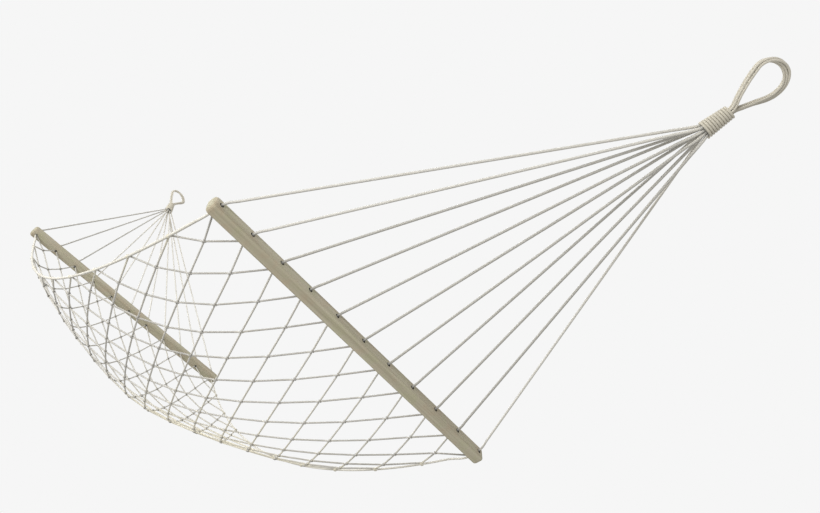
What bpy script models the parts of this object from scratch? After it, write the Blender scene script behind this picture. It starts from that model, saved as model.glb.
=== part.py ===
"""Rope hammock with two spreader bars.

Metres, +Z up. The origin is where the hook bears in the near hanging loop, +X runs along the
hammock towards that loop, and Y runs along the bars. Each end has a wooden bar drilled for a
fan of suspension cords, which a whipping binds together under a hanging loop. A knotted net
between two edge ropes is slung from bar to bar and sags in the middle.
"""

import math

import bmesh
import bpy
from mathutils import Matrix, Vector

# Bed: the net between the axes of the two bars, with an even number of knot rows along it
BED_LENGTH = 1.452
NET_ROWS = 20
ROW_CROWDING = 0.043
EDGE_SAG = 0.171
MIDDLE_SAG = 0.104
MIDDLE_FULLNESS = 0.45
TROUGH_POWER = 1.4
TROUGH_POWER_AT_BARS = 4.6

# Spreader bars
HOLE_COUNT = 11
HOLE_PITCH = 0.076
HOLE_CLEARANCE = 0.0036
BAR_DEPTH = 0.024
BAR_WIDTH = 0.031
BAR_END_MARGIN = 0.017
BAR_EDGE_RADIUS = 0.005
BAR_END_RADIUS = 0.008
BAR_EDGE_FACETS = 4
HOLE_SIDES = 12

# Cords
CORD_DIAMETER = 0.0044
NET_CORD_DIAMETER = 0.0037
EDGE_ROPE_DIAMETER = 0.0046
KNOT_LENGTH = 0.006
BEND_STANDOFF = 0.002
EDGE_ROPE_STUB = 0.006

# Fan of suspension cords, from the bar's axis to the mouth of the whipping
FAN_LENGTH = 0.727
FAN_SLOPE = math.radians(42)
END_SLOPE = math.radians(50)

# Whipping round the gathered cords
WHIPPING_TURNS = 10
TURN_GAP = 0.0004
WHIPPING_CLEARANCE = 0.0004
POINTS_PER_TURN = 14

# Hanging loop: strands in a bundle, bent to a teardrop
LOOP_STRANDS = 5
LOOP_STRAND_DIAMETER = 0.0036
LOOP_LENGTH = 0.107
LOOP_HALF_WIDTH = 0.0305
NECK_CLEARANCE = 0.0012
POINTS_PER_STRAND = 3
BIGHT_POINTS = 15
NECK_POINTS = 7

# Gap left between pieces that touch
GAP = 0.0003

# Worked out from the sizes above
CORD_RADIUS = CORD_DIAMETER / 2
NET_RADIUS = NET_CORD_DIAMETER / 2
EDGE_ROPE_RADIUS = EDGE_ROPE_DIAMETER / 2
HOLE_RADIUS = CORD_RADIUS + HOLE_CLEARANCE / 2
HALF_BED = BED_LENGTH / 2
COLUMNS = HOLE_COUNT - 1
HALF_SPAN = COLUMNS * HOLE_PITCH / 2
BAR_LENGTH = 2 * (HALF_SPAN + BAR_END_MARGIN)
HOLE_AXIS = Vector((math.cos(FAN_SLOPE), 0, math.sin(FAN_SLOPE)))
END_AXIS = Vector((math.cos(END_SLOPE), 0, math.sin(END_SLOPE)))
END_NORMAL = Vector((-math.sin(END_SLOPE), 0, math.cos(END_SLOPE)))
NEAR_BAR = Vector((HALF_BED, 0, 0))
MOUTH = NEAR_BAR + FAN_LENGTH * HOLE_AXIS
TURN_PITCH = CORD_DIAMETER + TURN_GAP
WHIPPING_LENGTH = WHIPPING_TURNS * TURN_PITCH + CORD_DIAMETER
BUNDLE_PITCH = CORD_DIAMETER + GAP
LAYER_PITCH = BUNDLE_PITCH * math.sqrt(3) / 2
LOOP_STRAND_RADIUS = LOOP_STRAND_DIAMETER / 2
STRAND_RING = LOOP_STRAND_RADIUS / math.sin(math.pi / LOOP_STRANDS)
LOOP_RADIUS = STRAND_RING + LOOP_STRAND_RADIUS
NECK_RADIUS = LOOP_RADIUS + NECK_CLEARANCE
PIVOT = MOUTH + (WHIPPING_LENGTH + GAP + NECK_RADIUS + LOOP_RADIUS) * END_AXIS
LOOP_TIP = MOUTH + (WHIPPING_LENGTH + LOOP_LENGTH) * END_AXIS
HOOK_POINT = LOOP_TIP - LOOP_RADIUS * END_AXIS
SWING_CENTRE = Vector((0, 0, PIVOT.z))

ENDS = {"near": 1, "far": -1}
ROPE_COLOUR = (0.70, 0.67, 0.58, 1)
EDGE_COLOUR = (0.68, 0.64, 0.50, 1)
WOOD_COLOUR = (0.37, 0.33, 0.23, 1)
ROPE_ROUGHNESS = 0.85
WOOD_ROUGHNESS = 0.6


def clear_scene():
    for old in list(bpy.data.objects):
        bpy.data.objects.remove(old)


def new_collection(name):
    made = bpy.data.collections.new(name)
    bpy.context.scene.collection.children.link(made)
    return made


def new_material(name, colour, roughness):
    made = bpy.data.materials.new(name)
    made.use_nodes = True
    shader = made.node_tree.nodes["Principled BSDF"]
    shader.inputs["Base Color"].default_value = colour
    shader.inputs["Roughness"].default_value = roughness
    shader.inputs["Metallic"].default_value = 0
    return made


def new_empty(name, collection, place):
    made = bpy.data.objects.new(name, None)
    made.location = place
    collection.objects.link(made)
    return made


def at_end(point, end):
    """A point of the near end, or its mirror image at the far end."""
    return Vector((end * point.x, point.y, point.z))


def hole_offset(number):
    return (number - 1) * HOLE_PITCH - HALF_SPAN


def add_tube(name, points, radius, collection, parent, material, sides_level=1, tilts=None):
    """A closed tube along points that are given about the centre of the swing axis."""
    curve = bpy.data.curves.new(name, "CURVE")
    curve.dimensions = "3D"
    curve.twist_mode = "Z_UP"
    curve.bevel_depth = radius
    curve.bevel_resolution = sides_level
    curve.use_fill_caps = True
    spline = curve.splines.new("POLY")
    spline.points.add(len(points) - 1)
    for index, point in enumerate(points):
        spline.points[index].co = (*(point - SWING_CENTRE), 1)
        if tilts:
            spline.points[index].tilt = tilts[index]
    curve.materials.append(material)
    made = bpy.data.objects.new(name, curve)
    made.parent = parent
    collection.objects.link(made)
    return made


def add_bar(end_name, end, parts, cutters, parent, material):
    """A bar with rounded edges and rounder ends, its holes turned to point along the fan."""
    name = f"{end_name}_spreader_bar"
    solid = bmesh.new()
    bmesh.ops.create_cube(solid, size=1, matrix=Matrix.Diagonal((BAR_DEPTH, BAR_LENGTH, BAR_WIDTH, 1)))
    widest = max(BAR_EDGE_RADIUS, BAR_END_RADIUS)
    shares = solid.edges.layers.float.new("bevel_weight_edge")
    for edge in solid.edges:
        lengthwise = edge.verts[0].co.y * edge.verts[1].co.y < 0
        edge[shares] = (BAR_EDGE_RADIUS if lengthwise else BAR_END_RADIUS) / widest
    mesh = bpy.data.meshes.new(name)
    solid.to_mesh(mesh)
    solid.free()
    mesh.materials.append(material)

    drills = bmesh.new()
    along_x = Matrix.Rotation(math.pi / 2, 4, "Y")
    for number in range(1, HOLE_COUNT + 1):
        place = Matrix.Translation((0, hole_offset(number), 0)) @ along_x
        bmesh.ops.create_cone(
            drills,
            cap_ends=True,
            segments=HOLE_SIDES,
            radius1=HOLE_RADIUS,
            radius2=HOLE_RADIUS,
            depth=2 * BAR_DEPTH,
            matrix=place,
        )
    drill_mesh = bpy.data.meshes.new(f"{name}_drills")
    drills.to_mesh(drill_mesh)
    drills.free()

    bar = bpy.data.objects.new(name, mesh)
    drill = bpy.data.objects.new(f"{name}_drills", drill_mesh)
    for made, collection in ((bar, parts), (drill, cutters)):
        made.parent = parent
        made.location = at_end(NEAR_BAR, end) - SWING_CENTRE
        made.rotation_euler = (0, -end * FAN_SLOPE, 0)
        collection.objects.link(made)
    drill.hide_render = True
    drill.display_type = "WIRE"

    rounding = bar.modifiers.new("rounded_edges", "BEVEL")
    rounding.limit_method = "WEIGHT"
    rounding.width = widest
    rounding.segments = BAR_EDGE_FACETS
    holes = bar.modifiers.new("holes", "BOOLEAN")
    holes.operation = "DIFFERENCE"
    holes.solver = "EXACT"
    holes.object = drill
    return bar


def bundle_offset(number):
    """Where a cord lies among the others in the whipping: three layers, kept in the bar's order."""
    from_middle = number - (HOLE_COUNT + 1) / 2
    steps = math.floor((2 * abs(from_middle) + 1) / 3)
    layer = (0, -1, 1)[math.floor(abs(from_middle)) % 3]
    across = math.copysign(steps * BUNDLE_PITCH / 2, from_middle)
    return across, layer * LAYER_PITCH


def bundle_radius():
    offsets = [bundle_offset(number) for number in range(1, HOLE_COUNT + 1)]
    return max(math.hypot(across, up) for across, up in offsets) + CORD_RADIUS


def suspension_points(number, end):
    """From the top of the whipping, down the fan and through the bar to its net side."""
    across, up = bundle_offset(number)
    in_bundle = Vector((0, across, 0)) + up * END_NORMAL
    hole = NEAR_BAR + Vector((0, hole_offset(number), 0))
    points = [
        MOUTH + WHIPPING_LENGTH * END_AXIS + in_bundle,
        MOUTH + in_bundle,
        hole + (BAR_DEPTH / 2 + BEND_STANDOFF) * HOLE_AXIS,
        hole - BAR_DEPTH / 2 * HOLE_AXIS,
    ]
    return [at_end(point, end) for point in points]


def whipping_points(end):
    """A helix up the gathered cords, with a straight tail at each end."""
    radius = bundle_radius() + WHIPPING_CLEARANCE + CORD_RADIUS
    count = WHIPPING_TURNS * POINTS_PER_TURN
    points = []
    for index in range(count + 1):
        angle = 2 * math.pi * index / POINTS_PER_TURN
        climb = CORD_RADIUS + TURN_PITCH * index / POINTS_PER_TURN
        ring = Vector((0, math.cos(angle), 0)) + math.sin(angle) * END_NORMAL
        points.append(MOUTH + climb * END_AXIS + radius * ring)
    first_tail = points[0] + CORD_DIAMETER * (points[0] - points[1]).normalized()
    last_tail = points[-1] + CORD_DIAMETER * (points[-1] - points[-2]).normalized()
    return [at_end(point, end) for point in [first_tail, *points, last_tail]]


def least_self_gap(points, diameter, skipped):
    """The least clear distance between stretches of one tube that lie over `skipped` points apart."""
    least = math.inf
    for first in range(len(points) - 1):
        for second in range(first + skipped, len(points)):
            least = min(least, (points[first] - points[second]).length)
    return least - diameter


def loop_points(end):
    """A closed teardrop: a small arc at the neck and a wide bight, joined by straight legs."""
    reach = (LOOP_TIP - PIVOT).length - LOOP_HALF_WIDTH
    lean = math.asin((LOOP_HALF_WIDTH - NECK_RADIUS) / reach)
    bight = PIVOT + reach * END_AXIS
    across = Vector((0, 1, 0))
    points = []
    for centre, radius, start, stop, count in (
        (bight, LOOP_HALF_WIDTH, -lean, math.pi + lean, BIGHT_POINTS),
        (PIVOT, NECK_RADIUS, math.pi + lean, 2 * math.pi - lean, NECK_POINTS),
    ):
        for index in range(count):
            angle = start + (stop - start) * index / (count - 1)
            points.append(centre + radius * (math.cos(angle) * across + math.sin(angle) * END_AXIS))
    return [at_end(point, end) for point in points]


def strand_outline():
    """The outline of a ring of touching strands, clockwise as a section has to run."""
    points = []
    half_lobe = math.pi / LOOP_STRANDS
    for strand in range(LOOP_STRANDS):
        facing = 2 * half_lobe * strand
        centre = STRAND_RING * Vector((math.cos(facing), math.sin(facing)))
        valley = STRAND_RING * math.cos(half_lobe)
        points.append(valley * Vector((math.cos(facing - half_lobe), math.sin(facing - half_lobe))))
        for index in range(1, POINTS_PER_STRAND):
            turn = facing + (index / POINTS_PER_STRAND - 0.5) * (math.pi / 2 + half_lobe)
            points.append(centre + LOOP_STRAND_RADIUS * Vector((math.cos(turn), math.sin(turn))))
    return points[::-1]


def add_loop(end_name, end, parts, cutters, parent, material):
    name = f"{end_name}_hanging_loop"
    outline = bpy.data.curves.new(f"{name}_section", "CURVE")
    outline.dimensions = "2D"
    section = outline.splines.new("POLY")
    corners = strand_outline()
    section.points.add(len(corners) - 1)
    for index, corner in enumerate(corners):
        section.points[index].co = (*corner, 0, 1)
    section.use_cyclic_u = True
    guide = bpy.data.objects.new(f"{name}_section", outline)
    guide.hide_render = True
    guide.display_type = "WIRE"
    cutters.objects.link(guide)

    curve = bpy.data.curves.new(name, "CURVE")
    curve.dimensions = "3D"
    curve.twist_mode = "Z_UP"
    curve.bevel_mode = "OBJECT"
    curve.bevel_object = guide
    path = curve.splines.new("POLY")
    points = loop_points(end)
    path.points.add(len(points) - 1)
    for index, point in enumerate(points):
        path.points[index].co = (*(point - at_end(HOOK_POINT, end)), 1)
    path.use_cyclic_u = True
    curve.materials.append(material)
    made = bpy.data.objects.new(name, curve)
    made.parent = parent
    made.location = at_end(HOOK_POINT, end)
    parts.objects.link(made)
    return made


def net_point(row, column):
    """A knot of the net: rows count from the near bar, columns run from -1 to 1 across the bed."""
    even = 1 - 2 * row / NET_ROWS
    along = even + ROW_CROWDING * even * (1 - even * even)
    hollow = 1 - along * along
    power = TROUGH_POWER + (TROUGH_POWER_AT_BARS - TROUGH_POWER) * along * along
    middle = MIDDLE_SAG * (1 + MIDDLE_FULLNESS * along * along) * (1 - abs(column) ** power)
    return Vector((HALF_BED * along, HALF_SPAN * column, -hollow * (EDGE_SAG + middle)))


def towards_near(row, column):
    step = 0.25
    return (net_point(row - step, column) - net_point(row + step, column)).normalized()


def across_net(row, column):
    step = 0.5 / COLUMNS
    low = max(column - step, -1)
    high = min(column + step, 1)
    return (net_point(row, high) - net_point(row, low)).normalized()


def bight_at(row, column, facing):
    """Where a course bends at a knot, the way along the net there, and the way across it.

    facing is 1 where the course lies on the near side of the knot and -1 on its far side.
    """
    if 0 < row < NET_ROWS:
        along = towards_near(row, column)
        across = across_net(row, column)
        return net_point(row, column) + facing * (NET_RADIUS + GAP / 2) * along, along, across
    end = 1 if row == 0 else -1
    seat = NEAR_BAR - (BAR_DEPTH / 2 + GAP + NET_RADIUS) * HOLE_AXIS
    place = at_end(seat + Vector((0, HALF_SPAN * column, 0)), end)
    along = Vector((HOLE_AXIS.x, 0, end * HOLE_AXIS.z))
    return place, along, Vector((0, 1, 0))


def course_points(course):
    """One zigzag cord across the bed, from edge rope to edge rope, with a short run at each knot."""
    points = []
    tilts = []
    for step in range(2 * COLUMNS + 1):
        column = step / COLUMNS - 1
        row = course + (step + course) % 2
        facing = -1 if row == course else 1
        place, along, across = bight_at(row, column, facing)
        clear = EDGE_ROPE_RADIUS + GAP
        if step == 0:
            run = (clear, clear + KNOT_LENGTH)
        elif step == 2 * COLUMNS:
            run = (-clear - KNOT_LENGTH, -clear)
        else:
            run = (-KNOT_LENGTH / 2, KNOT_LENGTH / 2)
        points += [place + offset * across for offset in run]
        tilts += [-math.atan2(along.z, along.x)] * 2
    return points, tilts


def edge_rope_points(side):
    """From the outer hole of one bar to that of the other, along the edge of the net."""
    start = NEAR_BAR + Vector((0, side * HALF_SPAN, 0))
    first = BAR_DEPTH / 2 + GAP
    near = [start - reach * HOLE_AXIS for reach in (first, first + EDGE_ROPE_STUB)]
    far = [at_end(point, -1) for point in reversed(near)]
    between = [net_point(half / 2, side) for half in range(1, 2 * NET_ROWS)]
    return near + between + far


def main():
    clear_scene()
    parts = new_collection("rope_hammock")
    cutters = new_collection("cutters")
    rope = new_material("rope", ROPE_COLOUR, ROPE_ROUGHNESS)
    edge = new_material("edge_rope", EDGE_COLOUR, ROPE_ROUGHNESS)
    wood = new_material("wood", WOOD_COLOUR, WOOD_ROUGHNESS)
    hooks = new_empty("hook_line", parts, -HOOK_POINT)
    swing = new_empty("swing_axis", parts, SWING_CENTRE)
    swing.parent = hooks

    for end_name, end in ENDS.items():
        add_bar(end_name, end, parts, cutters, swing, wood)
        for number in range(1, HOLE_COUNT + 1):
            name = f"{end_name}_suspension_cord_{number:02d}"
            add_tube(name, suspension_points(number, end), CORD_RADIUS, parts, swing, rope)
        turns = whipping_points(end)
        add_tube(f"{end_name}_whipping", turns, CORD_RADIUS, parts, swing, rope, sides_level=0)
        gap = least_self_gap(turns, CORD_DIAMETER, POINTS_PER_TURN // 2)
        print(f"{end_name}_whipping: least gap to itself {gap * 1000:.2f} mm")
        add_loop(end_name, end, parts, cutters, hooks, rope)

    for course in range(NET_ROWS):
        points, tilts = course_points(course)
        name = f"net_course_{course + 1:02d}"
        add_tube(name, points, NET_RADIUS, parts, swing, rope, sides_level=0, tilts=tilts)
    for side_name, side in (("left", 1), ("right", -1)):
        add_tube(f"{side_name}_edge_rope", edge_rope_points(side), EDGE_ROPE_RADIUS, parts, swing, edge)


main()
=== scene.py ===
"""Looks for a rope hammock: laid cords, tied knots, wound whippings and grained wooden bars.

Lengths are in metres. Routes are worked out about the middle of the bed, on the level of the
bars, and then moved to the part's own origin in the near hanging loop.
"""

import math

import bpy
import numpy as np
from mathutils import Matrix, Vector


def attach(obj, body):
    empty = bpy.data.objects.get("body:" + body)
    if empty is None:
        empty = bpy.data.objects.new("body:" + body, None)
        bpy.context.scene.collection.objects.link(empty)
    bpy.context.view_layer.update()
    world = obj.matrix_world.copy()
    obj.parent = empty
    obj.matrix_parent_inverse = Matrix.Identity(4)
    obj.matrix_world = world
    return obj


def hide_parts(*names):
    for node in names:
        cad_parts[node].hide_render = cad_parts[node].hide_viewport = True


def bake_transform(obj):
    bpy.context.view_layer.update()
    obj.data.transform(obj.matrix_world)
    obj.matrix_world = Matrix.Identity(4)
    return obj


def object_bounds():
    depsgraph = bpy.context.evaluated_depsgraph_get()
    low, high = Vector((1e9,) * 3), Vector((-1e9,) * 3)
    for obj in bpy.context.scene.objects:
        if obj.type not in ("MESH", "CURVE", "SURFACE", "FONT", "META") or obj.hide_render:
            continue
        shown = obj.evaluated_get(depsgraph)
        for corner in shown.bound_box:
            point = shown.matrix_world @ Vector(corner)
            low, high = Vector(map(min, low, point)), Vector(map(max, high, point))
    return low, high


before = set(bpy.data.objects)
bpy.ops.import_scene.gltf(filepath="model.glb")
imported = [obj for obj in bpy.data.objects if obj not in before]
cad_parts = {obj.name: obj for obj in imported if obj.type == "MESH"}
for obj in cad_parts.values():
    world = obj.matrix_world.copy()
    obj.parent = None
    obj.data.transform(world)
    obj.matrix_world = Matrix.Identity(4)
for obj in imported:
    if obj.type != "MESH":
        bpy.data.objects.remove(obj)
cad_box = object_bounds()

# Sizes of the part
BED_LENGTH = 1.452
NET_ROWS = 20
ROW_CROWDING = 0.043
EDGE_SAG = 0.171
MIDDLE_SAG = 0.104
MIDDLE_FULLNESS = 0.45
TROUGH_POWER = 1.4
TROUGH_POWER_AT_BARS = 4.6
HOLE_COUNT = 11
HOLE_PITCH = 0.076
HOLE_RADIUS = 0.004
BAR_DEPTH = 0.024
CORD_DIAMETER = 0.0044
NET_CORD_DIAMETER = 0.0037
EDGE_ROPE_DIAMETER = 0.0046
FAN_LENGTH = 0.727
FAN_SLOPE = math.radians(42)
END_SLOPE = math.radians(50)
WHIPPING_TURNS = 10
TURN_PITCH = 0.0048
WHIPPING_CLEARANCE = 0.0004
LOOP_STRAND_DIAMETER = 0.0036
LOOP_LENGTH = 0.107
GAP = 0.0003

CORD_RADIUS = CORD_DIAMETER / 2
NET_RADIUS = NET_CORD_DIAMETER / 2
EDGE_ROPE_RADIUS = EDGE_ROPE_DIAMETER / 2
COLUMNS = HOLE_COUNT - 1
HALF_BED = BED_LENGTH / 2
HALF_SPAN = COLUMNS * HOLE_PITCH / 2
WHIPPING_LENGTH = WHIPPING_TURNS * TURN_PITCH + CORD_DIAMETER
LOOP_STRAND_RADIUS = LOOP_STRAND_DIAMETER / 2
LOOP_RADIUS = LOOP_STRAND_RADIUS / math.sin(math.pi / 5) + LOOP_STRAND_RADIUS
ACROSS = np.array((0, 1, 0))
HOLE_AXIS = np.array((math.cos(FAN_SLOPE), 0, math.sin(FAN_SLOPE)))
HOLE_NORMAL = np.array((-math.sin(FAN_SLOPE), 0, math.cos(FAN_SLOPE)))
END_AXIS = np.array((math.cos(END_SLOPE), 0, math.sin(END_SLOPE)))
END_NORMAL = np.array((-math.sin(END_SLOPE), 0, math.cos(END_SLOPE)))
NEAR_BAR = np.array((HALF_BED, 0, 0))
MOUTH = NEAR_BAR + FAN_LENGTH * HOLE_AXIS
LOOP_TIP = MOUTH + (WHIPPING_LENGTH + LOOP_LENGTH) * END_AXIS
HOOK_POINT = LOOP_TIP - LOOP_RADIUS * END_AXIS
ENDS = {"near": np.array((1, 1, 1)), "far": np.array((-1, 1, 1))}

# How much fuller than its solid a laid cord is, and where the grooves between a rope's strands lie, as
# shares of its radius
NET_FULLNESS = 1.04
FAN_FULLNESS = 1.17
TURN_FULLNESS = 1.06
NET_GROOVE = 0.98
EDGE_GROOVE = 0.97
FAN_GROOVE = 0.97
TURN_GROOVE = 0.95
LOOP_GROOVE = 0.96

# How far a cord lies from the middle of its hole: a suspension cord, and the net's cord and the edge
# rope that share an outer hole
HUNG_CORD_SHIFT = 0.0013
NET_CORD_SHIFT = 0.0022
EDGE_ROPE_SHIFT = 0.0014

# A knot: how wide its turn is and where the legs run straight, in cord radii, how far the cord thins
# in it, its darker tone at the near and the far bar, which is dirt and painted shade, and how much of
# the net's painted light it can take on
KNOT_WIDTH = 1.4
KNOT_REACH = 3.4
KNOT_TIGHTNESS = 0.78
NEAR_KNOT_TONE = 0.76
FAR_KNOT_TONE = 0.51
KNOT_LIGHT_LIMIT = 1.15

# How far into a leg of the net its straight run starts
RUN_LEAD = 0.006

# A hitch round the edge rope: its angles and steps, and how far the cord thins in it
HITCH_START = math.radians(405)
HITCH_STOP = math.radians(81)
HITCH_STEPS = 12
HITCH_TIGHTNESS = 0.7

# Tones of a cord inside a hole and inside a whipping, which are painted shade, of a hitch, and where
# painted light on the net is brightest. As its tone goes from 1 to the warm tone, a cord takes on most of
# the colour of its stains, which makes the painted light warm
HOLE_TONE = 0.2
TUCKED_TONE = 0.5
HITCH_TONE = 1.25
PAINTED_LIGHT_TONE = 1.6
WARM_TONE = 1.3

# The patch of painted light by the left edge of the net, its middle and spread as shares of the rows, and
# how much of that painted light the far end has
LIT_PATCH_MIDDLE = 0.47
LIT_PATCH_SPREAD = 0.24
FAR_END_LIGHT = 0.25

# Tones of the legs that lean left and right towards the near bar, and of both in the far half: painted
# light and shade by the way light falls along each leg
LEFT_LEG_TONE = 0.76
RIGHT_LEG_TONE = 1.03
FAR_LEG_TONE = 0.91

# Suspension cords at the near end: the tone of the darker middle ones, that of the others with what it
# gains from cord to cord, and the thickness of the last one
MIDDLE_CORD_TONE = 0.66
OUTER_CORD_TONE = 0.84
OUTER_CORD_TONE_STEP = 0.009
LAST_CORD_THICKNESS = 0.9

# Suspension cords at the far end, the first three and the others: tone and thickness
FAR_FIRST_CORDS = (0.78, 0.92)
FAR_OTHER_CORDS = (1.0, 0.86)

# Edge ropes: name, side of the bed, tone and thickness
EDGE_ROPES = (("left_edge_rope", 1, 0.95, 1), ("right_edge_rope", -1, 0.84, 1.28))

# A whipping: steps to a turn, its fullness at the foot, how much of that is drawn in at the top, and how
# far its ends tuck in
TURN_STEPS = 24
FOOT_FULLNESS = 1.05
DRAWN_IN = 0.27
TUCK = 0.0025

# The loop as it hangs: thicker strands, drawn in a little, leaning to one side, one leg straighter. The
# legs pass each other at the throat, by a share of a strand, and the strands stray a little
HUNG_STRAND = 0.0043
HUNG_LENGTH = 0.102
HUNG_HALF_WIDTH = 0.0303
THROAT_HALF_WIDTH = 0.0042
LEG_BOWS = (-0.001, 0.0018)
LOOP_SWAY = 0.0095
LEG_PASSING = 0.55
PASSING_LENGTH = 0.035
STRAND_STRAY = 0.0002
STRAY_LENGTH = 0.013

# The loop's strands, in strand widths from the middle of the bundle, and along the loop how far the
# bundle has turned, in half turns, and its tone, which is painted shade, darkest on the leg where it starts
STRAND_PLACES = ((-0.43, -1), (-0.43, 0), (-0.43, 1), (0.43, -0.5), (0.43, 0.5))
TURN_SHARES = (0, 0.2, 0.4, 0.57, 0.67, 1)
HALF_TURNS = (0.2, 0.22, 0.42, 0.85, 1.0, 1.08)
TONE_SHARES = (0.25, 0.45, 0.7)
LOOP_TONES = (0.84, 0.98, 0.97)

# Display colours of each rope's crests, of the painted shade in its grooves, and of its stains, which
# are also the warm colour of its painted light
NET_COLOURS = ((187, 184, 177), (184, 181, 173), (186, 180, 161))
FAN_COLOURS = ((206, 203, 195), (199, 196, 187), (200, 194, 179))
LOOP_COLOURS = ((214, 208, 193), (199, 192, 175), (202, 195, 176))
TURN_COLOURS = ((202, 196, 180), (186, 179, 162), (192, 185, 166))
EDGE_COLOURS = ((216, 212, 201), (200, 196, 183), (198, 193, 178))

# Display colours of the wood
DARK_GRAIN = (154, 147, 126)
MIDDLE_GRAIN = (172, 165, 144)
LIGHT_GRAIN = (181, 175, 154)
EARLY_RING = (164, 159, 137)
LATE_RING = (152, 146, 124)
# Painted shade in the holes and just round them
HOLE_SHADE = (36, 30, 22)

# Plain black and white
BLACK = (0, 0, 0, 1)
WHITE = (1, 1, 1, 1)

# Texture scales, per metre, and the part of the grain's that is left along a bar
PATCH_SCALE = 38.0
LINT_SCALE = 900.0
STREAK_SCALE = 210.0
BAND_SCALE = 62.0
BLOTCH_SCALE = 34.0
RING_SCALE = 105.0
GRAIN_ALONG = 0.03

# The middle of the rings, from the middle of the bar, and how far past a hole the painted shade
# starts to fade and has gone
PITH = (0.013, 0, 0.031)
RIM_START = 0.0003
RIM_STOP = 0.0011

# Camera, about the middle of the bed
CAMERA_PLACE = Vector((2.0916, -0.7422, -0.4363))
CAMERA_FORWARD = Vector((-0.81601, 0.43225, 0.38377))
CAMERA_UP = Vector((0.00646, -0.65707, 0.7538))
CAMERA_LENS = 36.6
SENSOR_WIDTH = 36

# Floor and surroundings. The floor glows a little where it is seen directly
FLOOR_DROP = 1.0
FLOOR_REACH = 6.0
FLOOR_COLOUR = (0.86, 0.86, 0.85, 1)
FLOOR_GLOW = 0.22
WORLD_STRENGTH = 0.62
BACKDROP_COLOUR = (246, 246, 246)

# Lamps, about the part's origin: place, size, spread in degrees, watts, and whether they light the floor
LAMPS = {
    "key": ((0.4, -2.9, -0.9), 1.8, 80, 22, False),
    "side": ((-3.2, -2.8, -0.2), 1.8, 80, 15, False),
    "top": ((-2.9, -0.3, 2.2), 2.2, 120, 15, True),
}
AIM_HEIGHT = -0.75


def unit(vector):
    return vector / np.linalg.norm(vector)


def smooth_route(points, spacing, bend=math.radians(32)):
    """Places on a smooth curve through the points, closer in its bends, with reach and station of each."""
    points = np.asarray(points, float)
    steps = np.linalg.norm(np.diff(points, axis=0), axis=1)
    before = np.vstack([2 * points[0] - points[1], points[:-1]])
    after = np.vstack([points[1:], 2 * points[-1] - points[-2]])
    to_last = np.linalg.norm(points - before, axis=1)[:, None]
    to_next = np.linalg.norm(after - points, axis=1)[:, None]
    slopes = (points - before) / to_last * to_next + (after - points) / to_next * to_last
    slopes /= to_last + to_next
    fine = []
    stations = []
    for index, step in enumerate(steps):
        count = max(6, math.ceil(3 * step / spacing))
        t = np.linspace(0, 1, count, endpoint=False)[:, None]
        start = (2 * t**3 - 3 * t**2 + 1) * points[index] + (t**3 - 2 * t**2 + t) * step * slopes[index]
        stop = (3 * t**2 - 2 * t**3) * points[index + 1] + (t**3 - t**2) * step * slopes[index + 1]
        fine.append(start + stop)
        stations.append(index + t[:, 0])
    fine = np.vstack([*fine, points[-1:]])
    stations = np.concatenate([*stations, [len(steps)]])
    ways = np.diff(fine, axis=0)
    lengths = np.linalg.norm(ways, axis=1)
    ways /= lengths[:, None]
    turns = np.arccos(np.clip((ways[:-1] * ways[1:]).sum(axis=1), -1, 1))
    shares = np.maximum(lengths / spacing, np.concatenate([[0], turns]) / bend)
    reach = np.concatenate([[0], np.cumsum(lengths)])
    share = np.concatenate([[0], np.cumsum(shares)])
    wanted = np.linspace(0, share[-1], max(3, round(share[-1]) + 1))
    places = np.interp(wanted, share, reach)
    even = np.stack([np.interp(places, reach, fine[:, axis]) for axis in range(3)], axis=1)
    return even, places, np.interp(places, reach, stations)


def tangents_along(points):
    tangents = np.gradient(points, axis=0)
    return tangents / np.linalg.norm(tangents, axis=1)[:, None]


def carried_frames(points):
    """Two directions across the path at each point, carried along it without twist."""
    tangents = tangents_along(points)
    side = np.cross(tangents[0], (0, 0, 1))
    if np.linalg.norm(side) < 0.1:
        side = np.cross(tangents[0], (0, 1, 0))
    sides = [unit(side)]
    for tangent in tangents[1:]:
        side = sides[-1] - np.dot(sides[-1], tangent) * tangent
        sides.append(side / math.sqrt(np.dot(side, side)))
    sides = np.array(sides)
    return sides, np.cross(tangents, sides)


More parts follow.
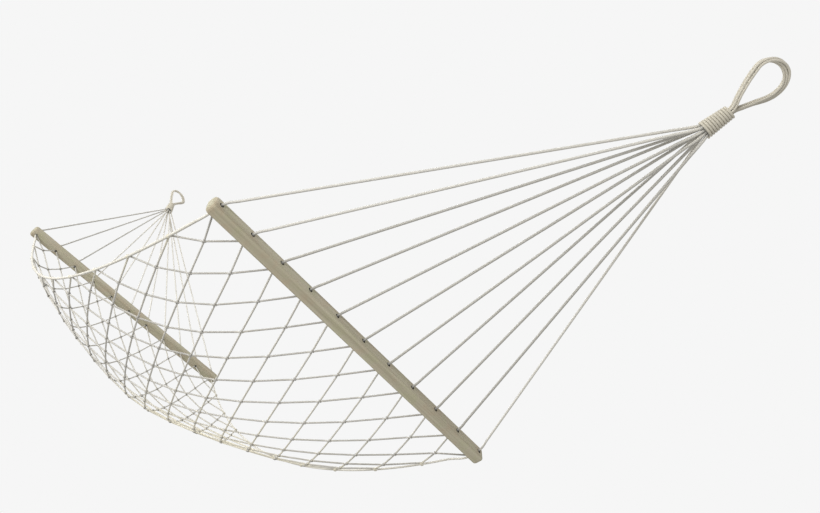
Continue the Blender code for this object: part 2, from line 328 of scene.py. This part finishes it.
def add_rope(name, routes, radius, material, groove, lay=6.5, rings=9, strands=3, sides_each=3):
    """One mesh of twisted cords with closed ends, each along its route of points, thicknesses and tones.

    The lay, in diameters, is the length in which the strands go round once. On a straight run it is
    divided by that many rings of corners.
    """
    size = strands * sides_each
    angles = 2 * math.pi * np.arange(size) / size
    lay_length = lay * 2 * radius
    corners = []
    faces = []
    crest = []
    tone = []
    count = 0
    for number, route in enumerate(routes):
        places, thicknesses, tones = zip(*route, strict=True)
        points, reach, stations = smooth_route(places, lay_length / rings)
        thickness = np.interp(stations, np.arange(len(route)), thicknesses)
        sides, ups = carried_frames(points)
        twist = angles[None, :] - 2 * math.pi * reach[:, None] / lay_length + number
        swell = abs(np.cos(strands * twist / 2))
        ring = np.cos(angles)[None, :, None] * sides[:, None] + np.sin(angles)[None, :, None] * ups[:, None]
        ring *= radius * thickness[:, None, None] * (groove + (1 - groove) * swell)[..., None]
        corners.append((points[:, None] + ring).reshape(-1, 3))
        crest.append(swell.reshape(-1))
        tone.append(np.repeat(np.interp(stations, np.arange(len(route)), tones), size))
        first = count + size * np.arange(len(points) - 1)[:, None] + np.arange(size)[None, :]
        second = first + 1
        second[:, -1] -= size
        faces += np.stack([first, second, first + size], axis=-1).reshape(-1, 3).tolist()
        faces += np.stack([second, second + size, first + size], axis=-1).reshape(-1, 3).tolist()
        faces.append(list(range(count + size - 1, count - 1, -1)))
        last = count + size * (len(points) - 1)
        faces.append(list(range(last, last + size)))
        count += size * len(points)
    mesh = bpy.data.meshes.new(name)
    mesh.from_pydata((np.concatenate(corners) - HOOK_POINT).tolist(), [], faces)
    for label, values in (("crest", crest), ("tone", tone)):
        layer = mesh.attributes.new(label, "FLOAT", "POINT")
        layer.data.foreach_set("value", np.concatenate(values).astype(np.float32))
    mesh.shade_smooth()
    mesh.materials.append(material)
    made = bpy.data.objects.new(name, mesh)
    bpy.context.scene.collection.objects.link(made)
    return made


def full(points, tone=1):
    """A route along the points at full thickness and in one tone."""
    return [(point, 1, tone) for point in points]


def net_point(row, column):
    """A knot of the net: rows count from the near bar, columns run from -1 to 1 across the bed."""
    even = 1 - 2 * row / NET_ROWS
    along = even + ROW_CROWDING * even * (1 - even * even)
    hollow = 1 - along * along
    power = TROUGH_POWER + (TROUGH_POWER_AT_BARS - TROUGH_POWER) * along * along
    middle = MIDDLE_SAG * (1 + MIDDLE_FULLNESS * along * along) * (1 - abs(column) ** power)
    return np.array((HALF_BED * along, HALF_SPAN * column, -hollow * (EDGE_SAG + middle)))


def net_directions(row, column):
    """Towards the near bar, across the net and out of it, at one knot."""
    step = 0.25
    towards = unit(net_point(row - step, column) - net_point(row + step, column))
    low = max(column - 0.5 / COLUMNS, -1)
    high = min(column + 0.5 / COLUMNS, 1)
    across = unit(net_point(row, high) - net_point(row, low))
    across = unit(across - np.dot(across, towards) * towards)
    return towards, across, np.cross(towards, across)


def bar_hole(row, column):
    """The middle of a bar's hole at one end of the net, and the way out of it to the net."""
    end = 1 if row == 0 else -1
    centre = np.array((end * HALF_BED, HALF_SPAN * column, 0))
    return centre, np.array((-end * HOLE_AXIS[0], 0, -HOLE_AXIS[2]))


def knot_place(row, column):
    if 0 < row < NET_ROWS:
        return net_point(row, column)
    centre, outward = bar_hole(row, column)
    return centre + BAR_DEPTH / 2 * outward


def net_tone(row, column):
    """How bright the net is at a knot: painted light in a patch by the left edge, and at the far end."""
    share = row / NET_ROWS
    beside_edge = np.clip((column + 0.4) / 0.6, 0, 1)
    patch = beside_edge * math.exp(-(((share - LIT_PATCH_MIDDLE) / LIT_PATCH_SPREAD) ** 2))
    far_end = FAR_END_LIGHT * np.clip(2.5 * share - 0.9, 0, 1)
    return 1 + (PAINTED_LIGHT_TONE - 1) * max(patch, far_end)


def edge_hitch(row, column, facing):
    """A cord's end, wound round the edge rope and leaving over its top towards the net."""
    towards, across, out = net_directions(row, column)
    inward = -math.copysign(1, column) * across
    radius = EDGE_ROPE_RADIUS + 0.3 * NET_RADIUS
    route = []
    for step in range(HITCH_STEPS + 1):
        share = step / HITCH_STEPS
        turn = (1 - share) * HITCH_START + share * HITCH_STOP
        shift = facing * NET_RADIUS * (0.9 - 0.25 * share)
        around = radius * (math.cos(turn) * inward + math.sin(turn) * out)
        route.append((net_point(row, column) + around + shift * towards, HITCH_TIGHTNESS, HITCH_TONE))
    return route


def outer_hole_end(row, column):
    """A cord's end in the outer hole of a bar, beside the edge rope."""
    centre, outward = bar_hole(row, column)
    beside = centre - math.copysign(NET_CORD_SHIFT, column) * ACROSS
    # Painted shade on the cord inside the hole
    tones = ((0.1, HOLE_TONE), (0.35, HOLE_TONE), (0.5, 0.6))
    return [(beside + reach * BAR_DEPTH * outward, 0.85, tone) for reach, tone in tones]


def tied_bend(row, column, facing, last, following):
    """One course's part of a knot: a plain bend, or one that takes a turn round the other."""
    place = knot_place(row, column)
    directions = NET_RADIUS * np.array(net_directions(row, column))
    if facing > 0:
        bend = [(0.6, -0.75, 0), (-0.8, 0, 0), (0.6, 0.75, 0)]
    else:
        bend = [(-0.9, -0.35, -0.9)]
        for step in range(9):
            turn = step * math.pi / 4
            climb = 0.2 + 0.8 * math.sin(turn / 2)
            bend.append((climb, KNOT_WIDTH * math.sin(turn), (0.7 + 0.1 * step) * math.cos(turn)))
        bend.append((-0.9, 0.35, 0.9))
    tone = net_tone(row, column)
    # A knot is darker, from dirt and painted shade, and takes on part of the net's painted light
    dark = NEAR_KNOT_TONE + (FAR_KNOT_TONE - NEAR_KNOT_TONE) * row / NET_ROWS
    dark *= min(tone, KNOT_LIGHT_LIMIT)
    leads = [place + KNOT_REACH * NET_RADIUS * unit(leg - place) for leg in (last, following)]
    tied = [(place + np.dot(point, directions), KNOT_TIGHTNESS, dark) for point in bend]
    return [(leads[0], 1, tone), *tied, (leads[1], 1, tone)]


def hole_bend(row, column, last, following):
    """A bend of the first or last course, held inside a hole of the bar."""
    place = knot_place(row, column)
    inward = -bar_hole(row, column)[1]
    bend = ((0, 1), (2.5, 1.03), (4.4, 0), (2.5, -1.03), (0, -1))
    points = [place + NET_RADIUS * (deep * inward - wide * ACROSS) for deep, wide in bend]
    tone = net_tone(row, column)
    first = points[0] + 2 * NET_RADIUS * unit(last - points[0])
    second = points[-1] + 2 * NET_RADIUS * unit(following - points[-1])
    # Painted shade on the bend inside the hole
    return [(first, 1, tone), *full(points, HOLE_TONE), (second, 1, tone)]


def leg_tone(last, following):
    """The tone of a leg by the way it leans, painted light and shade: from the middle of the bed on, both
    kinds look alike.
    """
    leg = following - last
    tone = RIGHT_LEG_TONE if leg[0] * leg[1] < 0 else LEFT_LEG_TONE
    far = np.clip(1 - 2 * (last[0] + following[0]) / BED_LENGTH, 0, 1)
    return tone + (FAR_LEG_TONE - tone) * far


def straight_runs(route):
    """The same route with two more points on each long leg, so that it runs straight."""
    made = [route[0]]
    for (last, _, last_tone), (following, thickness, tone) in zip(route, route[1:], strict=False):
        leg = following - last
        length = np.linalg.norm(leg)
        if length > 4 * RUN_LEAD:
            # A long leg takes the painted light and shade of the way it leans
            shade = leg_tone(last, following)
            made.append((last + RUN_LEAD / length * leg, 1, shade * last_tone))
            made.append((following - RUN_LEAD / length * leg, 1, shade * tone))
        made.append((following, thickness, tone))
    return made


def course_route(course):
    """One zigzag cord of the net, tied at every knot."""
    stops = []
    for step in range(2 * COLUMNS + 1):
        row = course + (step + course) % 2
        stops.append((row, step / COLUMNS - 1, 1 if row > course else -1))
    route = []
    for step, (row, column, facing) in enumerate(stops):
        at_bar = row in (0, NET_ROWS)
        if step in (0, 2 * COLUMNS):
            end = outer_hole_end(row, column) if at_bar else edge_hitch(row, column, facing)
            route += end if step == 0 else end[::-1]
            continue
        last = knot_place(*stops[step - 1][:2])
        following = knot_place(*stops[step + 1][:2])
        if at_bar:
            route += hole_bend(row, column, last, following)
        else:
            route += tied_bend(row, column, facing, last, following)
    return straight_runs(route)


def edge_rope_route(column, tone, thickness):
    """From inside the outer hole of one bar to that of the other."""
    ends = []
    for row in (0, NET_ROWS):
        centre, outward = bar_hole(row, column)
        beside = centre + math.copysign(EDGE_ROPE_SHIFT, column) * ACROSS
        ends.append([beside + reach * outward for reach in (0.006, BAR_DEPTH / 2 - 0.001)])
    between = [net_point(half / 2, column) for half in range(2, 2 * NET_ROWS - 1)]
    middle = [(point, thickness, tone) for point in between]
    return full(ends[0], tone) + middle + full(ends[1][::-1], tone)


def bundle_offset(number):
    """Where a cord lies among the others in the whipping: three layers, kept in the bar's order."""
    from_middle = number - (HOLE_COUNT + 1) / 2
    steps = math.floor((2 * abs(from_middle) + 1) / 3)
    layer = (0, -1, 1)[math.floor(abs(from_middle)) % 3]
    pitch = CORD_DIAMETER + GAP
    across = math.copysign(steps * pitch / 2, from_middle)
    return across * ACROSS + layer * pitch * math.sqrt(3) / 2 * END_NORMAL


def suspension_look(number, end):
    """The tone and thickness of a suspension cord: at the near end, the middle cords are darker."""
    if end[0] < 0:
        return FAR_FIRST_CORDS if number < 4 else FAR_OTHER_CORDS
    tone = MIDDLE_CORD_TONE if 2 < number < HOLE_COUNT else OUTER_CORD_TONE + OUTER_CORD_TONE_STEP * number
    thickness = 1 if number < HOLE_COUNT else LAST_CORD_THICKNESS
    return tone, thickness


def suspension_route(number, end):
    """From the middle of the bar, up the fan and into the whipping."""
    hole = NEAR_BAR + ((number - 1) * HOLE_PITCH - HALF_SPAN) * ACROSS + HUNG_CORD_SHIFT * HOLE_NORMAL
    offset = bundle_offset(number)
    bend = hole + (BAR_DEPTH / 2 + 0.003) * HOLE_AXIS
    mouth = MOUTH + 1.3 * offset
    way = unit(mouth - bend)
    tone, thickness = suspension_look(number, end)
    # Painted shade inside the hole, just past it and inside the whipping; lighter towards the mouth
    route = [
        (hole, HOLE_TONE),
        (hole + 0.7 * BAR_DEPTH / 2 * HOLE_AXIS, HOLE_TONE),
        (bend + 0.004 * way, 0.9 * tone),
        (bend + 0.03 * way, tone),
        (mouth - 0.3 * way, tone + 0.07),
        (mouth - 0.045 * way, tone + 0.16),
        (mouth - 0.004 * way, 1.1),
        (MOUTH + offset + 0.006 * END_AXIS, TUCKED_TONE),
        (MOUTH + offset + 0.45 * WHIPPING_LENGTH * END_AXIS, TUCKED_TONE),
    ]
    return [(point * end, thickness, shade) for point, shade in route]


def whipping_route(end):
    """A helix up the gathered cords, drawn in towards the loop, with its ends tucked in."""
    gathered = max(np.linalg.norm(bundle_offset(number)) for number in range(1, HOLE_COUNT + 1))
    radius = gathered + CORD_RADIUS + WHIPPING_CLEARANCE + CORD_RADIUS
    steps = TURN_STEPS * WHIPPING_TURNS
    points = []
    for step in range(steps + 1):
        turn = 2 * math.pi * step / TURN_STEPS
        climb = CORD_RADIUS + TURN_PITCH * step / TURN_STEPS
        drawn_in = radius * (FOOT_FULLNESS - DRAWN_IN * step / steps)
        around = math.cos(turn) * ACROSS + math.sin(turn) * END_NORMAL
        points.append(MOUTH + climb * END_AXIS + drawn_in * around)
    first = points[0] + 1.5 * CORD_DIAMETER * unit(points[0] - points[1]) - TUCK * ACROSS
    last = points[-1] + 1.5 * CORD_DIAMETER * unit(points[-1] - points[-2]) - TUCK * ACROSS
    return full([point * end for point in [first, *points, last]])


def loop_centreline():
    """From inside the whipping, round the teardrop and back: distances along the end and across."""
    throat = WHIPPING_LENGTH + 0.003
    centre = WHIPPING_LENGTH + HUNG_LENGTH - HUNG_HALF_WIDTH
    lean = math.asin((HUNG_HALF_WIDTH - THROAT_HALF_WIDTH) / (centre - throat))
    start = (centre - HUNG_HALF_WIDTH * math.sin(lean), HUNG_HALF_WIDTH * math.cos(lean))
    legs = []
    for bow in LEG_BOWS:
        leg = [(along, THROAT_HALF_WIDTH) for along in (0.5 * WHIPPING_LENGTH, 0.8 * WHIPPING_LENGTH, throat)]
        for share in (0.3, 0.6):
            along = (1 - share) * throat + share * start[0]
            wide = (1 - share) * THROAT_HALF_WIDTH + share * start[1]
            leg.append((along, wide + bow * math.sin(math.pi * share)))
        legs.append(leg)
    bight = []
    for step in range(13):
        turn = -lean + (math.pi + 2 * lean) * step / 12
        bight.append((centre + HUNG_HALF_WIDTH * math.sin(turn), HUNG_HALF_WIDTH * math.cos(turn)))
    return legs[0] + bight + [(along, -wide) for along, wide in reversed(legs[1])]


def loop_routes(end):
    """Five strands round the loop, two beside three, that turn slowly about one another."""
    line, places, _ = smooth_route([(along, wide, 0) for along, wide in loop_centreline()], spacing=0.004)
    shares = places / places[-1]
    tangents = tangents_along(line)
    outward = np.stack([tangents[:, 1], -tangents[:, 0]], axis=1)
    above_whipping = line[:, 0] - WHIPPING_LENGTH
    sway = -end[0] * LOOP_SWAY * np.clip(above_whipping / HUNG_LENGTH * 1.4, 0, 1)
    apart = LEG_PASSING * np.clip(1.3 - above_whipping / PASSING_LENGTH, 0, 1) * np.sign(line[:, 1])
    twist = math.pi * np.interp(shares, TURN_SHARES, HALF_TURNS)
    # Painted shade along the loop, darkest on the leg where it starts, which the other leg shades
    tones = np.interp(shares, TONE_SHARES, LOOP_TONES)
    routes = []
    for strand, (wide, high) in enumerate(STRAND_PLACES):
        stray = STRAND_STRAY * np.sin(places / STRAY_LENGTH + 2.1 * strand)
        out = HUNG_STRAND * (wide * np.cos(twist) - high * np.sin(twist)) + stray
        rise = HUNG_STRAND * (wide * np.sin(twist) + high * np.cos(twist) + apart) + stray[::-1]
        along = line[:, 0] + out * outward[:, 0]
        across = line[:, 1] + out * outward[:, 1] + sway
        points = MOUTH + along[:, None] * END_AXIS + across[:, None] * ACROSS + rise[:, None] * END_NORMAL
        routes.append([(point, 1, tone) for point, tone in zip(points * end, tones, strict=True)])
    return routes


def from_screen(red, green, blue):
    """A display colour as linear light."""
    levels = [level / 255 for level in (red, green, blue)]
    return (*[level / 12.92 if level <= 0.04045 else ((level + 0.055) / 1.055) ** 2.4 for level in levels], 1)


def socket(node, name):
    """The input of that name that is in use on a node."""
    return next(found for found in node.inputs if found.name == name and found.enabled)


class NodeTree:
    """Short ways to add nodes to the tree of a material or of the world."""

    def __init__(self, tree):
        self.tree = tree

    def add(self, kind, links=None, **settings):
        node = self.tree.nodes.new(kind)
        for name, value in settings.items():
            setattr(node, name, value)
        for name, value in (links or {}).items():
            self.put(socket(node, name) if isinstance(name, str) else node.inputs[name], value)
        return node

    def put(self, where, value):
        if isinstance(value, bpy.types.NodeSocket):
            self.tree.links.new(value, where)
        else:
            where.default_value = value

    def math(self, operation, first, second=0.0):
        return self.add("ShaderNodeMath", {0: first, 1: second}, operation=operation).outputs[0]

    def mapped(self, vector, **links):
        return self.add("ShaderNodeMapping", {"Vector": vector, **links}).outputs["Vector"]

    def less(self, vector, other):
        return self.add("ShaderNodeVectorMath", {0: vector, 1: other}, operation="SUBTRACT").outputs["Vector"]

    def between(self, value, low, high):
        links = {"Value": value, "From Min": low, "From Max": high}
        return self.add("ShaderNodeMapRange", links).outputs["Result"]

    def ramp(self, factor, stops):
        node = self.add("ShaderNodeValToRGB", {"Fac": factor})
        while len(node.color_ramp.elements) < len(stops):
            node.color_ramp.elements.new(0.5)
        for element, (position, colour) in zip(node.color_ramp.elements, stops, strict=True):
            element.position = position
            element.color = colour
        return node.outputs["Color"]

    def noise(self, vector, scale, detail=3.0, roughness=0.55):
        links = {"Vector": vector, "Scale": scale, "Detail": detail, "Roughness": roughness}
        return self.add("ShaderNodeTexNoise", links).outputs["Fac"]

    def mix(self, factor, first, second, kind="MIX"):
        node = self.add("ShaderNodeMix", data_type="RGBA", blend_type=kind)
        self.put(node.inputs[0], factor)
        self.put(node.inputs[6], first)
        self.put(node.inputs[7], second)
        return node.outputs[2]

    def seen_directly(self):
        """1 for what the camera sees, also in gloss and through glass, and 0 for soft light."""
        rays = self.add("ShaderNodeLightPath").outputs
        seen = self.math("MAXIMUM", rays["Is Camera Ray"], rays["Is Glossy Ray"])
        return self.math("MAXIMUM", seen, rays["Is Transmission Ray"])


class Shading(NodeTree):
    """A Principled material."""

    def __init__(self, name):
        self.material = bpy.data.materials.new(name)
        self.material.use_nodes = True
        super().__init__(self.material.node_tree)
        self.inputs = self.tree.nodes["Principled BSDF"].inputs

    def bump(self, height, strength, distance):
        node = self.add("ShaderNodeBump", {"Height": height, "Strength": strength, "Distance": distance})
        self.put(self.inputs["Normal"], node.outputs["Normal"])


def rope_material(name, colours):
    """Twisted fibre: painted shade in the grooves, darker where it is tied, which is dirt and painted shade,
    a tone along the cord that paints light and shade, uneven stains along the cord, with fine lint.
    """
    crest_colour, groove_shade_colour, stain_and_light_colour = [from_screen(*colour) for colour in colours]
    look = Shading(name)
    look.inputs["Roughness"].default_value = 0.92
    look.inputs["Specular IOR Level"].default_value = 0.2
    look.inputs["Sheen Weight"].default_value = 0.1
    look.inputs["Sheen Roughness"].default_value = 0.6
    crest = look.add("ShaderNodeAttribute", attribute_name="crest").outputs["Fac"]
    tone = look.add("ShaderNodeAttribute", attribute_name="tone").outputs["Fac"]
    place = look.add("ShaderNodeTexCoord").outputs["Object"]
    # Painted shade in the grooves between the strands
    base = look.ramp(crest, ((0.0, groove_shade_colour), (0.65, crest_colour)))
    patches = look.noise(place, PATCH_SCALE)
    stains = look.ramp(patches, ((0.42, BLACK), (0.72, WHITE)))
    worn = look.mix(look.math("MULTIPLY", stains, 0.3), base, stain_and_light_colour)
    # Above a tone of 1 the cord warms to its stain colour, as in the painted light on the net
    painted_light_share = look.between(tone, 1.0, WARM_TONE)
    warmed_by_painted_light = look.mix(look.math("MULTIPLY", painted_light_share, 0.8), worn, stain_and_light_colour)
    lint = look.noise(place, LINT_SCALE, 2.0)
    fibre = look.ramp(lint, ((0.3, (0.9, 0.9, 0.9, 1)), (0.7, WHITE)))
    # The tone multiplies the colour; much of it is painted light and shade
    toned = look.mix(1.0, warmed_by_painted_light, tone, "MULTIPLY")
    look.put(look.inputs["Base Color"], look.mix(1.0, toned, fibre, "MULTIPLY"))
    look.bump(lint, 0.2, 0.0003)
    return look.material


def long_grain(look, local, streaks, bands):
    """The colour of planed wood: streaks and bands along the bar, and weathered blotches."""
    stops = ((0.22, DARK_GRAIN), (0.5, MIDDLE_GRAIN), (0.8, LIGHT_GRAIN))
    grain = look.ramp(streaks, [(place, from_screen(*colour)) for place, colour in stops])
    tone = look.ramp(bands, ((0.35, (0.88, 0.87, 0.84, 1)), (0.62, WHITE)))
    planed = look.mix(1.0, grain, tone, "MULTIPLY")
    blotches = look.noise(local, BLOTCH_SCALE, 3.0, 0.6)
    green = (0.97, 1.0, 0.93, 1)
    red = (1.0, 0.95, 0.93, 1)
    weathered = look.ramp(blotches, ((0.36, green), (0.5, WHITE), (0.64, red)))
    return look.mix(1.0, planed, weathered, "MULTIPLY")


def end_grain(look, local):
    """The colour of sawn wood: rings about a point beside the bar."""
    flat = look.mapped(look.less(local, PITH), Scale=(1, 0, 1))
    rings = look.add(
        "ShaderNodeTexWave",
        {"Vector": flat, "Scale": RING_SCALE, "Distortion": 2.0, "Detail": 2.0},
        wave_type="RINGS",
        rings_direction="Y",
    )
    return look.ramp(rings.outputs["Fac"], ((0.2, from_screen(*EARLY_RING)), (0.8, from_screen(*LATE_RING))))


def wood_material(end_name, end):
    """Planed softwood: long grain, duller end grain and painted shade in and round the holes."""
    look = Shading(f"{end_name}_bar_wood")
    look.inputs["Roughness"].default_value = 0.62
    look.inputs["Specular IOR Level"].default_value = 0.3
    turn = end * FAN_SLOPE
    place = look.add("ShaderNodeTexCoord").outputs["Object"]
    centre = Vector(NEAR_BAR * ENDS[end_name] - HOOK_POINT)
    centre.rotate(Matrix.Rotation(turn, 3, "Y"))
    local = look.less(look.mapped(place, Rotation=(0, turn, 0)), centre)
    stretched = look.mapped(local, Scale=(1, GRAIN_ALONG, 1))
    streaks = look.noise(stretched, STREAK_SCALE, 3.0, 0.5)
    bands = look.noise(stretched, BAND_SCALE, 2.0, 0.5)

    axes = look.add("ShaderNodeSeparateXYZ", {"Vector": local}).outputs
    facing = look.add("ShaderNodeNewGeometry").outputs["Normal"]
    facing_along = look.add("ShaderNodeSeparateXYZ", {"Vector": facing}).outputs["Y"]
    at_end = look.math("GREATER_THAN", look.math("ABSOLUTE", facing_along), 0.8)
    past_holes = look.math("GREATER_THAN", look.math("ABSOLUTE", axes["Y"]), HALF_SPAN + 2 * HOLE_RADIUS)
    sawn = look.math("MULTIPLY", at_end, past_holes)
    surface = look.mix(sawn, long_grain(look, local, streaks, bands), end_grain(look, local))

    # Painted shade: the hole colour in each hole, fading out just past its wall
    from_hole = look.math("PINGPONG", look.math("ADD", axes["Y"], COLUMNS * HOLE_PITCH), HOLE_PITCH / 2)
    squares = [look.math("POWER", offset, 2.0) for offset in (from_hole, axes["Z"])]
    distance = look.math("SQRT", look.math("ADD", *squares))
    outside = look.between(distance, HOLE_RADIUS + RIM_START, HOLE_RADIUS + RIM_STOP)
    look.put(look.inputs["Base Color"], look.mix(outside, from_screen(*HOLE_SHADE), surface))
    look.bump(streaks, 0.2, 0.0004)
    return look.material


def dress_bed():
    """Replaces the net and its edge ropes with laid ones."""
    net_cord = rope_material("net_cord", NET_COLOURS)
    courses = [course_route(course) for course in range(NET_ROWS)]
    radius = NET_FULLNESS * NET_RADIUS
    net = add_rope("net", courses, radius, net_cord, NET_GROOVE, rings=5, strands=2, sides_each=4)
    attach(net, "bed")
    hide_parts(*[f"net_course_{number:02d}" for number in range(1, NET_ROWS + 1)])

    edge_rope = rope_material("edge_rope", EDGE_COLOURS)
    for name, column, tone, thickness in EDGE_ROPES:
        route = edge_rope_route(column, tone, thickness)
        rope = add_rope(f"{name}_laid", [route], EDGE_ROPE_RADIUS, edge_rope, EDGE_GROOVE)
        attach(rope, "bed")
        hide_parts(name)


def dress_ends():
    """Replaces the fans, the whippings and the loops with laid ones, and finishes the bars."""
    fan_cord = rope_material("fan_cord", FAN_COLOURS)
    loop_cord = rope_material("cream_rope", LOOP_COLOURS)
    turn_cord = rope_material("whipping", TURN_COLOURS)
    numbers = range(1, HOLE_COUNT + 1)
    for end_name, end in ENDS.items():
        cords = [suspension_route(number, end) for number in numbers]
        fan = add_rope(f"{end_name}_fan", cords, FAN_FULLNESS * CORD_RADIUS, fan_cord, FAN_GROOVE)
        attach(fan, "bed")
        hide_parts(*[f"{end_name}_suspension_cord_{number:02d}" for number in numbers])

        wound = [whipping_route(end)]
        radius = TURN_FULLNESS * CORD_RADIUS
        turns = add_rope(
            f"{end_name}_turns", wound, radius, turn_cord, TURN_GROOVE, rings=12, sides_each=4
        )
        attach(turns, "bed")
        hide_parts(f"{end_name}_whipping")

        strands = loop_routes(end)
        loop = add_rope(f"{end_name}_loop", strands, HUNG_STRAND / 2, loop_cord, LOOP_GROOVE, lay=9)
        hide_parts(f"{end_name}_hanging_loop")
        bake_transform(loop)

        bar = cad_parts[f"{end_name}_spreader_bar"]
        bar.data.materials.clear()
        bar.data.materials.append(wood_material(end_name, end[0]))


def add_floor():
    pale = Shading("pale_floor")
    pale.inputs["Roughness"].default_value = 0.95
    pale.inputs["Base Color"].default_value = FLOOR_COLOUR
    pale.inputs["Emission Color"].default_value = WHITE
    pale.put(pale.inputs["Emission Strength"], pale.math("MULTIPLY", pale.seen_directly(), FLOOR_GLOW))

    middle = -HOOK_POINT[0]
    level = float(cad_box[0][2]) - FLOOR_DROP
    sides = ((-1, -1), (1, -1), (1, 1), (-1, 1))
    corners = [(middle + a * FLOOR_REACH, b * FLOOR_REACH, level) for a, b in sides]
    mesh = bpy.data.meshes.new("floor")
    mesh.from_pydata(corners, [], [(0, 1, 2, 3)])
    mesh.materials.append(pale.material)
    floor = bpy.data.objects.new("floor", mesh)
    bpy.context.scene.collection.objects.link(floor)
    return floor


def add_world():
    """Even light all round, with a pale backdrop where it is seen directly."""
    world = bpy.data.worlds.new("studio")
    bpy.context.scene.world = world
    world.use_nodes = True
    world.node_tree.nodes.clear()
    sky = NodeTree(world.node_tree)
    light = sky.add("ShaderNodeBackground", {"Color": WHITE, "Strength": WORLD_STRENGTH})
    backdrop = sky.add("ShaderNodeBackground", {"Color": from_screen(*BACKDROP_COLOUR), "Strength": 1})
    shaders = {0: sky.seen_directly(), 1: light.outputs[0], 2: backdrop.outputs[0]}
    shown = sky.add("ShaderNodeMixShader", shaders)
    sky.add("ShaderNodeOutputWorld", {0: shown.outputs[0]})


def add_lamps(floor):
    """Soft lamps aimed at the bed. Those on a level with it leave the floor out."""
    unlit_floor = bpy.data.collections.new("unlit_floor")
    unlit_floor.objects.link(floor)
    unlit_floor.collection_objects[0].light_linking.link_state = "EXCLUDE"
    aim = Vector((-HOOK_POINT[0], 0, AIM_HEIGHT))
    for name, (place, size, spread, watts, on_floor) in LAMPS.items():
        lamp = bpy.data.lights.new(name, "AREA")
        lamp.size = size
        lamp.spread = math.radians(spread)
        lamp.energy = watts
        holder = bpy.data.objects.new(name, lamp)
        holder.location = place
        holder.rotation_euler = (aim - Vector(place)).to_track_quat("-Z", "Y").to_euler()
        bpy.context.scene.collection.objects.link(holder)
        if not on_floor:
            holder.light_linking.receiver_collection = unlit_floor


def add_camera():
    lens = bpy.data.cameras.new("camera")
    lens.sensor_fit = "HORIZONTAL"
    lens.sensor_width = SENSOR_WIDTH
    lens.lens = CAMERA_LENS
    holder = bpy.data.objects.new("camera", lens)
    forward = CAMERA_FORWARD.normalized()
    right = forward.cross(CAMERA_UP).normalized()
    turn = Matrix((right, right.cross(forward), -forward)).transposed()
    place = Matrix.Translation(CAMERA_PLACE - Vector(HOOK_POINT))
    holder.matrix_world = place @ turn.to_4x4()
    bpy.context.scene.collection.objects.link(holder)
    bpy.context.scene.camera = holder


dress_bed()
dress_ends()
bpy.context.scene.view_settings.view_transform = "Standard"
add_world()
add_lamps(add_floor())
add_camera()
bpy.context.view_layer.update()
